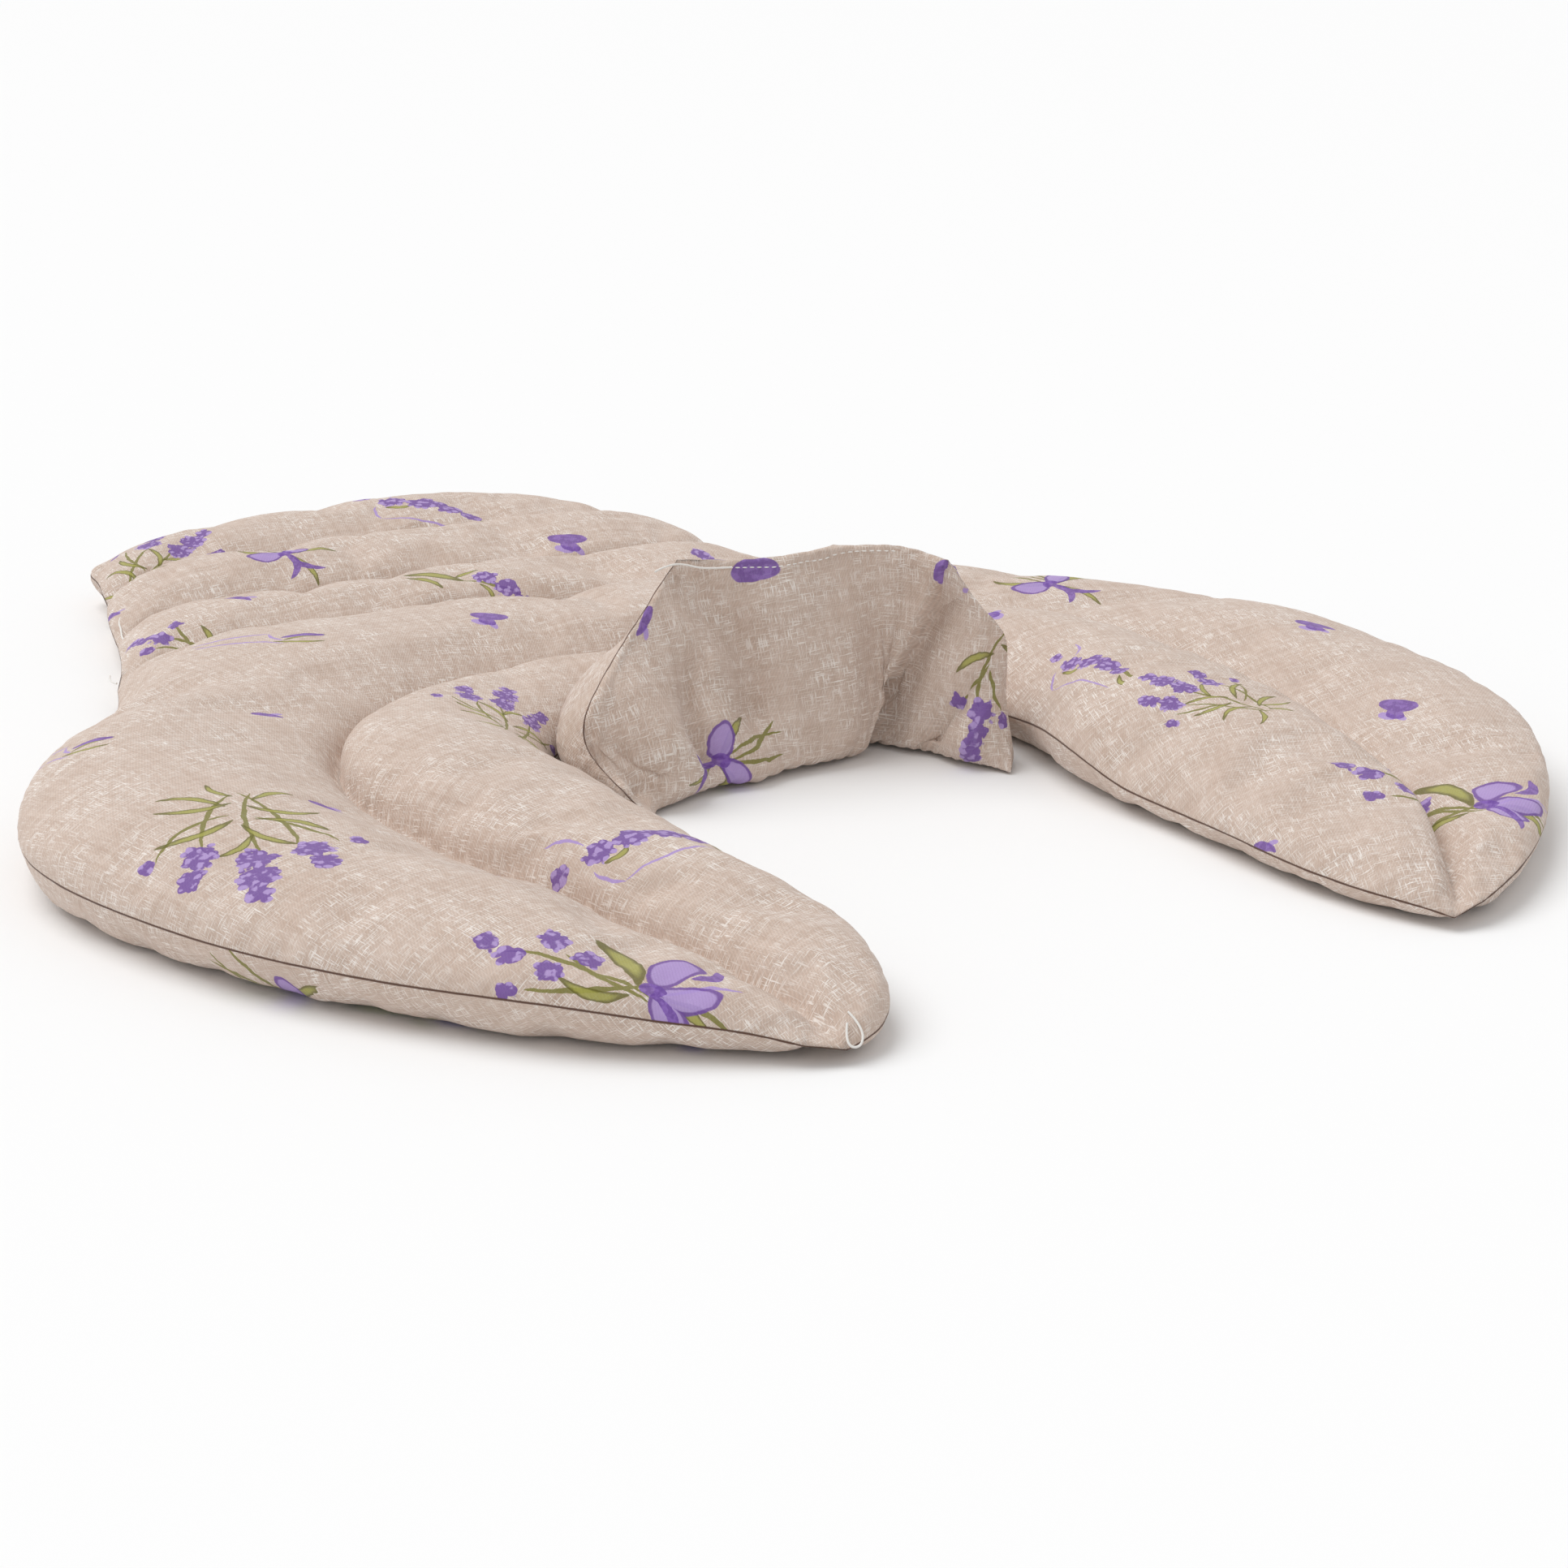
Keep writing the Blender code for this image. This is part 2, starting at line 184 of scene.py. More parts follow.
# Lets the cloth swell under the fill's pressure between its seams, and caps how far it moves.
def puff(piece, style):
    start = readAll(piece.data.vertices, "co", 3)
    addGroup(piece, "held", np.nonzero(start[:, 2] < style["restingBelow"])[0])
    for seam in style["heldSeams"]:
        addGroup(piece, "held", np.nonzero(onSeam(piece, seam))[0])
    modifier = piece.modifiers.new("cloth", "CLOTH")
    cloth = modifier.settings
    cloth.quality = style["steps"]
    cloth.mass = style["mass"]
    cloth.use_pressure = True
    cloth.uniform_pressure_force = style["pressure"]
    cloth.effector_weights.gravity = 0
    cloth.vertex_group_mass = "held"
    cloth.shrink_min = -style["slack"]
    cloth.tension_stiffness = style["stiffness"]
    cloth.compression_stiffness = style["stiffness"]
    cloth.shear_stiffness = style["shear"]
    cloth.bending_stiffness = style["bending"]
    modifier.collision_settings.use_collision = False
    modifier.point_cache.frame_start = 1
    modifier.point_cache.frame_end = style["frames"]
    for frameNumber in range(1, style["frames"] + 1):
        bpy.context.scene.frame_set(frameNumber)
    graph = bpy.context.evaluated_depsgraph_get()
    settled = readAll(piece.evaluated_get(graph).data.vertices, "co", 3)
    piece.modifiers.remove(modifier)
    bpy.context.scene.frame_set(1)
    move = settled - start
    far = np.linalg.norm(move, axis=1)
    share = np.minimum(1.0, style["cap"] / np.maximum(far, 1e-9))
    places = start + move * share[:, None]
    places[:, 2] = np.maximum(places[:, 2], 0)
    setPoints(piece, places)
    print(piece.name, "filled, cloth moved up to", round(1000 * min(far.max(), style["cap"]), 1), "mm")


# The panels that the seams part, as lists of faces.
def partPanels(mesh):
    seen = set()
    panels = []
    for first in mesh.faces:
        if first in seen:
            continue
        panel, reached = [], [first]
        seen.add(first)
        while reached:
            face = reached.pop()
            panel.append(face)
            for edge in face.edges:
                for other in edge.link_faces if not edge.seam else ():
                    if other not in seen:
                        seen.add(other)
                        reached.append(other)
        panels.append(panel)
    return panels


# The direction a panel faces, as long as its area.
def panelFacing(panel):
    return sum((face.normal * face.calc_area() for face in panel), Vector())


# The area of a panel on its UV map.
def areaOnMap(panel, layer):
    total = 0.0
    for face in panel:
        corners = [complex(*loop[layer].uv) for loop in face.loops]
        turned = corners[1:] + corners[:1]
        total += 0.5 * abs(sum((a.conjugate() * b).imag for a, b in zip(corners, turned)))
    return total


# Unwraps the panels and lays each out in metres, turned as it lies on the piece. Panels that face the camera
# or upwards come first.
def layOutPanels(piece):
    pickOnly(piece)
    while piece.data.uv_layers:
        piece.data.uv_layers.remove(piece.data.uv_layers[0])
    piece.data.uv_layers.new(name="cloth")
    bpy.ops.object.mode_set(mode="EDIT")
    bpy.ops.mesh.select_all(action="SELECT")
    bpy.ops.uv.unwrap(method="ANGLE_BASED", margin=0.0)
    bpy.ops.object.mode_set(mode="OBJECT")
    mesh = bmesh.new()
    mesh.from_mesh(piece.data)
    layer = mesh.loops.layers.uv["cloth"]
    panelOf = mesh.faces.layers.int.new("panel")
    mesh.faces.ensure_lookup_table()
    toCamera = Vector(studio["cameraAt"]) + Vector((0, 0, 1))
    panels = sorted(partPanels(mesh), key=lambda panel: -toCamera.dot(panelFacing(panel)))
    for number, panel in enumerate(panels):
        facing = panelFacing(panel).normalized()
        if abs(facing.z) > 0.7:  # lies flat, so it is read from above or below
            right, up = Vector((math.copysign(1, facing.z), 0, 0)), Vector((0, 1, 0))
        else:
            right, up = Vector((-facing.y, facing.x, 0)).normalized(), Vector((0, 0, 1))
        loops = [loop for face in panel for loop in face.loops]
        flat = np.array([complex(*loop[layer].uv) for loop in loops])
        seat = np.array([complex(loop.vert.co.dot(right), loop.vert.co.dot(up)) for loop in loops])
        scale = math.sqrt(sum(face.calc_area() for face in panel) / max(areaOnMap(panel, layer), 1e-12))
        turn = ((flat - flat.mean()).conjugate() * (seat - seat.mean())).sum()
        placed = (flat - flat.mean()) * turn / abs(turn) * scale + seat.mean()
        for loop, place in zip(loops, placed):
            loop[layer].uv = (place.real, place.imag)
        for face in panel:
            face[panelOf] = number
        print(piece.name, "panel", number, "faces", len(panel), "facing", [round(c, 2) for c in facing])
    mesh.to_mesh(piece.data)
    mesh.free()


# The pad's cloth and fill. Slack and stiffness were found by trying, as a cloth simulation's are.
padStyle = {
    "seamGap": 2.9 * mm,  # the cloth layers are closer than this only where a line is stitched through
    "slack": 0.022,  # cut this much larger than it lies, which puckers it along the seams
    "pressure": 2.0,
    "stiffness": 20.0,
    "shear": 5.0,
    "bending": 0.6,
    "mass": 0.2,
    "frames": 22,
    "steps": 5,  # of the simulation for each frame
    "cap": 4.0 * mm,  # no point of the cloth moves further than this
    "restingBelow": 1.2 * mm,  # cloth lower than this rests on the table and is held
    "heldSeams": ("sideSeam", "channelSeam"),
    "seamSink": 0.7 * mm,  # the side seam is drawn in this far
    "fullness": 4.0 * mm,  # the fill lifts the cloth this much close beside a stitched channel
    "fullnessAt": 7.0 * mm,  # where it is lifted most
    "fullnessEnds": 6,  # and it ends this many times as far from the channel
    "fill": 0.7,  # 0 is slack, 1 is tight
}


# A point's place seen from above, to a hundredth of a millimetre, by which a point of the upper panel finds
# the one below it.
def planPlace(vert):
    return (round(vert.co.x, 5), round(vert.co.y, 5))


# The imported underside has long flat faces. This gives it the upper panel's faces again, at its own height.
def matchUnderside(piece):
    mesh = bmesh.new()
    mesh.from_mesh(piece.data)
    heights, side = {}, set()
    for vert in mesh.verts:
        faceUp = [face.normal.z > 0 for face in vert.link_faces]
        if not any(faceUp):
            heights[planPlace(vert)] = vert.co.z
        elif not all(faceUp):
            side.add(vert)
    bmesh.ops.delete(mesh, geom=[face for face in mesh.faces if face.normal.z < 0], context="FACES")
    upper = list(mesh.faces)
    below = {}
    # In the faces' order, so that every run numbers the points alike.
    for vert in dict.fromkeys(vert for face in upper for vert in face.verts):
        low = (vert.co.x, vert.co.y, heights.get(planPlace(vert), 0))
        below[vert] = vert if vert in side else mesh.verts.new(low)
    for face in upper:
        mesh.faces.new([below[vert] for vert in reversed(face.verts)])
    mesh.normal_update()
    mesh.to_mesh(piece.data)
    mesh.free()


# The upper panel is sewn to the lower one along the side, and through the fill along the channels.
def findPadSeams(piece, seamGap):
    mesh = bmesh.new()
    mesh.from_mesh(piece.data)
    crease = mesh.edges.layers.float.new("crease_edge")
    side, channel, lower = set(), set(), {}
    for vert in mesh.verts:
        faceUp = [face.normal.z > 0 for face in vert.link_faces]
        if any(faceUp) and not all(faceUp):
            side.add(vert.index)
        elif not any(faceUp):
            lower[planPlace(vert)] = vert
    for vert in mesh.verts:
        below = lower.get(planPlace(vert))
        if below and below is not vert and vert.index not in side and vert.co.z - below.co.z < seamGap:
            channel.update((vert.index, below.index))
    for edge in mesh.edges:
        ends = [vert.index in side or vert.index in channel for vert in edge.verts]
        edge[crease] = 1.0 if all(ends) else 0.0
        edge.seam = len({face.normal.z > 0 for face in edge.link_faces}) == 2
    mesh.to_mesh(piece.data)
    mesh.free()
    addGroup(piece, "sideSeam", side)
    addGroup(piece, "channelSeam", channel)


# Lifts the upper cloth close beside the stitched channels, so that they are narrow and their sides steep.
def fillToChannels(piece, style):
    places = readAll(piece.data.vertices, "co", 3)
    facing = readAll(piece.data.vertices, "normal", 3)
    seam = nearestTree(places[onSeam(piece, "channelSeam")] * (1, 1, 0))
    side = nearestTree(places[onSeam(piece, "sideSeam")] * (1, 1, 0))
    for i, place in enumerate(places):
        flat = (place[0], place[1], 0)
        away = seam.find(flat)[2] / style["fullnessAt"]
        if facing[i, 2] > 0 and away < style["fullnessEnds"]:
            inner = min(1.0, side.find(flat)[2] / (2 * style["fullnessAt"]))
            places[i, 2] += style["fullness"] * inner * away * math.exp(1 - away)
    setPoints(piece, places)


# The pad: sewn, filled, smoothed, and drawn in a little along its side seam.
def padPiece(style):
    piece = copyOfNode("pad", "printed_pad")
    matchUnderside(piece)
    findPadSeams(piece, style["seamGap"])
    layOutPanels(piece)
    applyModifier(piece, "SUBSURF", levels=1, render_levels=1)
    fillToChannels(piece, style)
    puff(piece, style)
    applyModifier(piece, "SUBSURF", levels=1, render_levels=1)
    places = readAll(piece.data.vertices, "co", 3)
    facing = readAll(piece.data.vertices, "normal", 3)
    places[onSeam(piece, "sideSeam")] -= style["seamSink"] * facing[onSeam(piece, "sideSeam")]
    setPoints(piece, places)
    return piece


# The collar's folds: rise left and right of the line in mm (below 0 is pressed in), width in mm, the share of
# the rise at the line's start, and the line in mm.
collarFolds = {
    "sharpness": 1.6,  # 1 makes the folds sharp, 2 round
    "lines": {
        "long valley from the top corner": (
            -9, -9, 7, 0.5,
            ((-11, -43, 71), (-6, -46, 64), (-1, -50, 56), (5, -55, 46), (6, -60, 36), (5, -63, 24)),
        ),
        "valley beside the lower bulge": (
            -10, -10, 5, 0.4, ((-16, -56, 44), (-19, -62, 34), (-20, -68, 24), (-16, -70, 12)),
        ),
        "ridge left of the long valley": (4, 4, 6, 0.6, ((-22, -46, 62), (-15, -52, 52), (-8, -58, 42))),
        "lower bulge": (7, 7, 12, 0.6, ((-42, -66, 38), (-36, -70, 16))),
        "swell by the valley": (5, 5, 8, 0.6, ((-6, -68, 26), (2, -68, 10))),
        "sharp fold": (
            -9, 5, 8, 0.5,
            (
                (71, -78, 72), (70, -75, 64), (68, -71, 56), (66, -66, 45), (64, -61, 35), (59, -57, 22),
                (50, -56, 6),
            ),
        ),
        "slanting valley": (
            -7, -7, 4.5, 0.3, ((84, -91, 38), (78, -89, 30), (74, -84, 22), (71, -77, 14), (68, -72, 5)),
        ),
        "ridge under the slanting valley": (4, 4, 5, 0.4, ((84, -93, 30), (79, -91, 20), (76, -87, 10))),
        "small tuck high": (-5, -5, 3, 0.4, ((-62, -64, 28), (-61, -72, 20), (-59, -78, 13))),
        "small tuck low": (-6, -6, 3.5, 0.4, ((-56, -72, 20), (-50, -78, 8))),
    },
}
# The collar's cloth and fill, with the same settings as the pad's.
collarStyle = {
    "slack": 0.02,
    "pressure": 0.5,
    "stiffness": 20.0,
    "shear": 5.0,
    "bending": 0.5,
    "mass": 0.2,
    "frames": 12,
    "steps": 5,
    "cap": 1.2 * mm,
    "restingBelow": 1.5 * mm,
    "heldSeams": ("edgeSeam",),
    "edgeCrease": 0.8,  # how sharp the sewn edge stays, up to 1
    "baseFacing": -0.9,  # faces that point down further than this are the base, which is sewn to the pad
    # The dark line along the collar's sewn edge is painted shade in the seam's gap.
    "seamShadeLeftOf": -14 * mm,  # the dark stitched seam shows only left of this x
    "cornerTurn": math.radians(22),  # where the sewn edge turns more than this it keeps a point
    "neckCentre": (15 * mm, -135 * mm, 0),  # faces turned towards this are the front panel's
    "fill": 0.5,
}


# The collar: sewn along its free edge, filled a little, and folded.
def collarPiece(style, folds):
    piece = copyOfNode("collar", "printed_collar")
    mesh = bmesh.new()
    mesh.from_mesh(piece.data)
    crease = mesh.edges.layers.float.new("crease_edge")
    sewn = set()
    side = {}
    for face in mesh.faces:
        toNeck = Vector(style["neckCentre"]) - face.calc_center_median()
        front = face.normal.x * toNeck.x + face.normal.y * toNeck.y > 0
        side[face] = "base" if face.normal.z < style["baseFacing"] else "front" if front else "rear"
    for edge in mesh.edges:
        sides = {side[face] for face in edge.link_faces}
        edge.seam = len(sides) == 2
        if sides == {"front", "rear"}:
            edge[crease] = style["edgeCrease"]
            sewn.update(vert.index for vert in edge.verts)
    corner = mesh.verts.layers.float.new("crease_vert")
    for vert in mesh.verts:
        ways = [edge.other_vert(vert).co - vert.co for edge in vert.link_edges if edge[crease]]
        if len(ways) == 2 and ways[0].angle(-ways[1]) > style["cornerTurn"]:
            vert[corner] = 1.0
    mesh.to_mesh(piece.data)
    mesh.free()
    addGroup(piece, "edgeSeam", sewn)
    layOutPanels(piece)
    applyModifier(piece, "SUBSURF", levels=1, render_levels=1)
    applyModifier(piece, "SUBSURF", levels=1, render_levels=1)
    puff(piece, style)
    foldCloth(piece, folds)
    applyModifier(piece, "SUBSURF", levels=1, render_levels=1)
    return piece


# Gives each point its distance from the nearest seam, which the cloth's material draws as a thin dark line of
# painted shade, standing for the shadow in the seam's gap.
# Only the seam's part left of the given x is drawn.
def markSeamShadeLines(piece, name, leftOf):
    places = readAll(piece.data.vertices, "co", 3)
    seam = nearestTree(places[onSeam(piece, name) & (places[:, 0] < leftOf)])
    distances = np.array([seam.find(place)[2] for place in places])
    lines = piece.data.attributes.new("seamDistance", "FLOAT", "POINT")
    lines.data.foreach_set("value", distances.astype(np.float32))


# An sRGB hex value as the linear colour that a material works with.
def hexColour(code):
    channels = [int(code[i:i + 2], 16) / 255 for i in (1, 3, 5)]
    linear = [c / 12.92 if c <= 0.04045 else ((c + 0.055) / 1.055) ** 2.4 for c in channels]
    return (*linear, 1.0)


# Adds a node with its settings. An input takes a number, a colour, or the node or socket that feeds it.
def addNode(tree, kind, inputs=None, **settings):
    node = tree.nodes.new(kind)
    for key, value in settings.items():
        setattr(node, key, value)
    for key, value in (inputs or {}).items():
        if isinstance(value, bpy.types.Node):
            value = value.outputs[0]
        if isinstance(value, bpy.types.NodeSocket):
            tree.links.new(value, node.inputs[key])
        else:
            node.inputs[key].default_value = value
    return node


# The motifs of the print, drawn in brush strokes: kind, x, y, angle, length, half width, bend, all in mm and
# degrees. A stroke starts at x, y. The bend is how far its middle bows out, in half widths.
motifs = {
    "bouquet": (
        ("floret", -17, 6, 104, 14, 6.5, 0), ("floret", -20, 18, 104, 13, 5.2, 0),
        ("floret", -1, 8, 92, 15, 7, 0), ("floret", -1, 20, 90, 15, 7, 0),
        ("floret", 0, 32, 86, 11, 4.6, 0),
        ("floret", 14, 2, 74, 14, 6, 0), ("floret", 18, 14, 70, 12, 5, 0),
        ("floret", -33, 0, 122, 8, 3.2, 0), ("floret", 31, 2, 46, 7, 2.8, 0),
        ("stem", -2, -38, 92, 50, 0.9, -4), ("stem", 2, -38, 110, 50, 0.9, 4),
        ("stem", 4, -36, 76, 44, 0.9, -4),
        ("stem", -2, -16, 140, 34, 0.8, 4), ("stem", 5, -18, 42, 34, 0.8, -4),
        ("leaf", -2, -14, 158, 26, 1.6, 2.4), ("leaf", 2, -10, 136, 24, 1.6, -2.2),
        ("leaf", 4, -14, 24, 28, 1.8, 2.2), ("leaf", 0, -26, 172, 25, 1.5, -2.6),
        ("leaf", 4, -28, 8, 25, 1.6, 2.4), ("leaf", 6, -24, -24, 24, 1.5, -2.4),
        ("leaf", -2, -30, 214, 20, 1.4, 2.2), ("leaf", 3, -34, -52, 14, 1.3, 1.8),
        ("leaf", -1, -2, 48, 18, 1.4, 2.0),
    ),
    "tiedSprig": (
        ("floret", -36, 8, 160, 9, 4, 0), ("floret", -27, 2, 150, 10, 4.6, 0),
        ("floret", -18, 9, 118, 10, 4.6, 0), ("floret", -14, -2, 170, 9, 4.2, 0),
        ("floret", -27, -9, 178, 8, 3.4, 0), ("floret", -6, 4, 130, 9, 4.6, 0),
        ("stem", -34, 6, -14, 48, 0.9, 3), ("stem", -26, -8, 12, 40, 0.9, -3),
        ("stem", -16, 8, -28, 32, 0.8, -2),
        ("leaf", 8, -2, 128, 28, 3.6, -1.0), ("leaf", 6, -6, 172, 22, 1.8, 1.8),
        ("bowLoop", 11, -1, 50, 22, 6, 0.5), ("bowLoop", 12, -2, 8, 21, 5.6, -0.4),
        ("bowLoop", 12, -3, -34, 16, 4.4, -0.5), ("petal", 8, -2, 0, 8, 2.8, 0),
        ("petal", 22, 6, 62, 15, 2.4, -1.4), ("petal", 12, -4, -62, 19, 1.9, 2.0),
        ("stem", 14, -4, -16, 26, 0.9, 2), ("leaf", 14, -5, -32, 24, 1.5, 2.4),
        ("lilac", 14, -4, 22, 26, 0.8, 2),
    ),
    "bow": (
        ("bowLoop", 0, 0, 152, 18, 5.2, 0.3), ("bowLoop", 0, 0, 28, 18, 5.2, -0.3),
        ("petal", -4, 0, 0, 8, 2.8, 0),
        ("petal", 0, 0, -118, 20, 1.9, 2.2), ("petal", 0, 0, -66, 22, 1.9, -2.2),
        ("stem", -1, 0, 84, 34, 0.9, 3), ("stem", 1, 0, 98, 34, 0.9, -3), ("stem", 1, 0, 72, 32, 0.9, -2),
        ("leaf", -1, 0, 116, 24, 1.8, 2.2), ("leaf", 2, -2, -12, 24, 2.6, 1.2),
        ("leaf", 0, -2, -92, 26, 1.3, 2.0),
    ),
    "spike": (
        ("floret", -1, 0, 96, 11, 5.2, 0), ("floret", -2, 9, 92, 11, 5.4, 0),
        ("floret", -2, 18, 84, 10, 4.2, 0),
        ("floret", 8, 2, 50, 8, 3.4, 0), ("floret", -10, 4, 128, 7, 3, 0),
        ("stem", -2, -30, 86, 34, 0.9, -3), ("stem", 0, -14, 62, 20, 0.8, 2),
        ("stem", -1, -12, 120, 18, 0.8, -2), ("leaf", -2, -22, 138, 20, 1.6, 2.2),
        ("leaf", -1, -18, 40, 20, 1.6, -2.0), ("leaf", -2, -26, 168, 16, 1.4, 2),
    ),
    "flowers": (
        ("floret", -22, -2, 8, 12, 5, 0), ("floret", -10, 0, 4, 13, 6, 0),
        ("floret", 2, 1, 2, 14, 6, 0),
        ("floret", 14, 0, -8, 11, 4.6, 0), ("floret", -28, 1, 160, 8, 3.4, 0),
        ("stem", 12, -1, -14, 26, 0.9, 2), ("leaf", 24, -5, -18, 18, 1.6, -1.8),
        ("leaf", -6, -4, 196, 12, 1.3, 1.6), ("lilac", -30, 16, -44, 16, 0.7, 3),
        ("lilac", -22, -8, -62, 14, 0.7, -2), ("lilac", -16, -20, 6, 44, 0.7, 2),
    ),
    "heart": (
        ("petal", -8, 1, 6, 16, 4.2, -0.3), ("petal", -2, -3, -24, 9, 3, 0),
        ("lilac", -4, -6, -14, 8, 2.2, 0), ("lilac", 3, -5, -34, 6, 1.6, 0),
    ),
    "ribbon": (
        ("lilac", -28, 0, 12, 30, 0.7, 4), ("lilac", 0, 6, -48, 12, 0.7, -2),
        ("petal", 6, 0, 20, 16, 1.8, 1.0), ("lilac", -26, -3, -6, 36, 0.6, 3),
        ("leaf", 8, -3, 34, 16, 1.1, 1.4), ("leaf", 4, -4, 8, 20, 1.0, -1.4),
    ),
    "dab": (("petal", -5, 0, 0, 12, 1.9, 0.4), ("lilac", 2, 1.2, 24, 6, 1.0, 0.5)),
    "leafSpray": (
        ("leaf", -32, 2, -2, 28, 4.0, 0.5), ("leaf", -30, -4, -24, 20, 1.8, 1.4),
        ("floret", 0, 5, 10, 12, 5.2, 0), ("floret", 11, 2, -12, 14, 6, 0),
        ("floret", 24, -3, -28, 12, 4.8, 0), ("stem", -6, 1, -8, 34, 0.9, 2),
        ("leaf", 4, -1, -46, 12, 1.5, 0.8), ("leaf", -8, 4, 44, 14, 1.4, 1.6),
    ),
}
chartPitch = 0.14  # the motifs stand this far apart in the chart that the print's UV map reads
strokeMargin = 5.0  # cloth read round a motif's strokes, in mm
tooSmallToSee = 1e-12  # a shift of the chart by this much can't be seen
blankPlace = (-1.0, -1.0)  # nothing is drawn in the chart here


# Where the motifs lie on each panel: motif, u, v in mm on the panel, angle in degrees, size.
padPrint = {
    0: (
        ("bouquet", -248, -118, 148, 0.95), ("ribbon", -241, 2, -62, 0.9), ("spike", -252, 26, -35, 0.7),
        ("dab", -165, -5, -23, 1.0), ("dab", -205, -99, -31, 1.0), ("dab", -209, -179, -72, 1.0),
        ("dab", -100, 153, -58, 1.0), ("bouquet", -82, -54, -32, 0.72), ("flowers", -149, -195, -22, 0.9),
        ("tiedSprig", -226, -256, -52, 0.95), ("heart", -41, 56, -49, 0.95), ("heart", 48, 188, -31, 0.95),
        ("heart", 258, -69, -39, 0.95), ("heart", 254, -155, -51, 0.9), ("leafSpray", -15, 133, -31, 0.8),
        ("flowers", 24, 268, -41, 0.9), ("bouquet", -92, 258, -52, 0.75), ("dab", -132, 205, -60, 0.9),
        ("spike", -132, 136, 32, 0.8), ("ribbon", -127, 66, -45, 1.0), ("bow", 187, 22, 30, 0.95),
        ("flowers", 148, -118, -62, 0.72), ("bouquet", 176, -162, 42, 0.62),
        ("tiedSprig", 240, -238, -14, 1.0),
        ("dab", 165, -251, -50, 0.9), ("spike", 95, 120, 30, 0.9), ("dab", 60, 70, 20, 1.0),
        ("bow", -60, 208, 15, 0.8), ("tiedSprig", 210, 100, -60, 0.85), ("spike", 80, 235, 80, 0.8),
        ("heart", 130, -40, 70, 0.9), ("dab", 130, 190, 100, 0.9),
    ),
    1: (
        ("bow", 262, -165, -50, 0.9), ("leafSpray", 238, -206, -122, 1.0), ("spike", 190, -262, -137, 0.8),
        ("dab", -136, -271, -117, 0.9), ("bouquet", 190, 0, 30, 0.9), ("spike", 120, 130, 160, 0.9),
        ("bow", -180, 60, -40, 0.9), ("bouquet", -200, -120, 100, 0.9), ("heart", 60, 190, 20, 0.9),
        ("leafSpray", -60, 250, -30, 0.9), ("spike", 20, 280, 70, 0.8), ("ribbon", -20, 130, 10, 0.9),
        ("flowers", 110, -60, 45, 0.9), ("heart", -120, -20, 120, 0.9), ("spike", 150, -150, -20, 0.8),
    ),
}
collarPrint = {
    0: (
        ("bow", -3, 12, -72, 0.78), ("spike", 112, 26, 165, 0.9), ("heart", 96, 66, 81, 0.9),
        ("dab", -20, 66, -127, 1.0), ("heart", 24, 76, 169, 1.1),
    ),
    1: (("spike", 10, 40, 10, 0.9), ("heart", -45, 50, 20, 0.9), ("dab", 60, 30, 80, 0.9)),
}


# The corners of the box round a motif's strokes, in metres.
def motifBox(motif):
    strokes = np.array([stroke[1:6] for stroke in motifs[motif]], float)
    angles = np.radians(strokes[:, 2])
    ends = strokes[:, :2] + strokes[:, 3:4] * np.stack((np.cos(angles), np.sin(angles)), axis=1)
    corners = np.concatenate((strokes[:, :2], ends))
    return (corners.min(axis=0) - strokeMargin) * mm, (corners.max(axis=0) + strokeMargin) * mm


# Lays the chart's motifs on the cloth: the faces near a motif's place read it, and the others read bare
# cloth.
def layOutPrint(piece, layout):
    mesh = piece.data
    cloth = mesh.uv_layers["cloth"]
    chart = mesh.uv_layers.new(name="print")
    flat = readAll(cloth.data, "uv", 2)
    faceStart = np.array([face.loop_start for face in mesh.polygons])
    faceSize = np.array([face.loop_total for face in mesh.polygons])
    faceOf = np.repeat(np.arange(len(faceStart)), faceSize)
    panel = readAll(mesh.attributes["panel"].data, "value", 1)
    drawn = np.tile(np.array(blankPlace), (len(flat), 1))
    names = list(motifs)
    for number, motifRows in layout.items():
        for motif, u, v, angle, size in motifRows:
            low, high = motifBox(motif)
            turn = math.radians(-angle)
            local = (flat - np.array((u, v)) * mm) / size
            local = local @ np.array(((math.cos(turn), math.sin(turn)), (-math.sin(turn), math.cos(turn))))
            middle = np.add.reduceat(local, faceStart, axis=0) / faceSize[:, None]
            near = (panel == number) & ((middle > low) & (middle < high)).all(axis=1)
            local[:, 0] += chartPitch * names.index(motif)
            drawn[near[faceOf]] = local[near[faceOf]]
    chart.data.foreach_set("uv", drawn.astype(np.float32).ravel())


# Widths, lengths and pitches in mm.
cottonStyle = {
    "ground": "#d6c3b6",
    "warm": "#b9a08f",
    "slub": "#f8f2ec",
    # The seam colour is painted shade, which darkens the seams' gaps where shadow falls.
    "seam": "#5f463b",
    "slubLength": 5.5,
    "slubWidth": 0.4,
    "slubCover": 0.85,
    "patchesPerMetre": 45.0,  # slubs come in patches of about 22 mm
    "streaks": ((60, 3.0), (3.0, 45)),  # length along each yarn, and width
    "twillPitch": 0.9,
    "twillTurn": math.radians(32),
    # The width of the painted shade line along a seam.
    "seamShadeEdge": (0.2, 0.55),  # a seam's line is dark up to the first distance, and ends at the second
    "petalWidth": 3.4,
    "brushWobble": 2.4,
    "wobblesPerMetre": 160.0,  # a stroke's edge wavers every 6 mm
    "bristlesPerMetre": 380.0,  # and its tone every 2.6 mm
    "inkCover": 0.88,
    "purple": "#6f489f",
    "purpleMiddle": "#8560b4",
    "purpleLight": "#ae93d2",
    "green": "#6a6626",
    "greenMiddle": "#7d7a32",
    "greenLight": "#a4a24e",
}


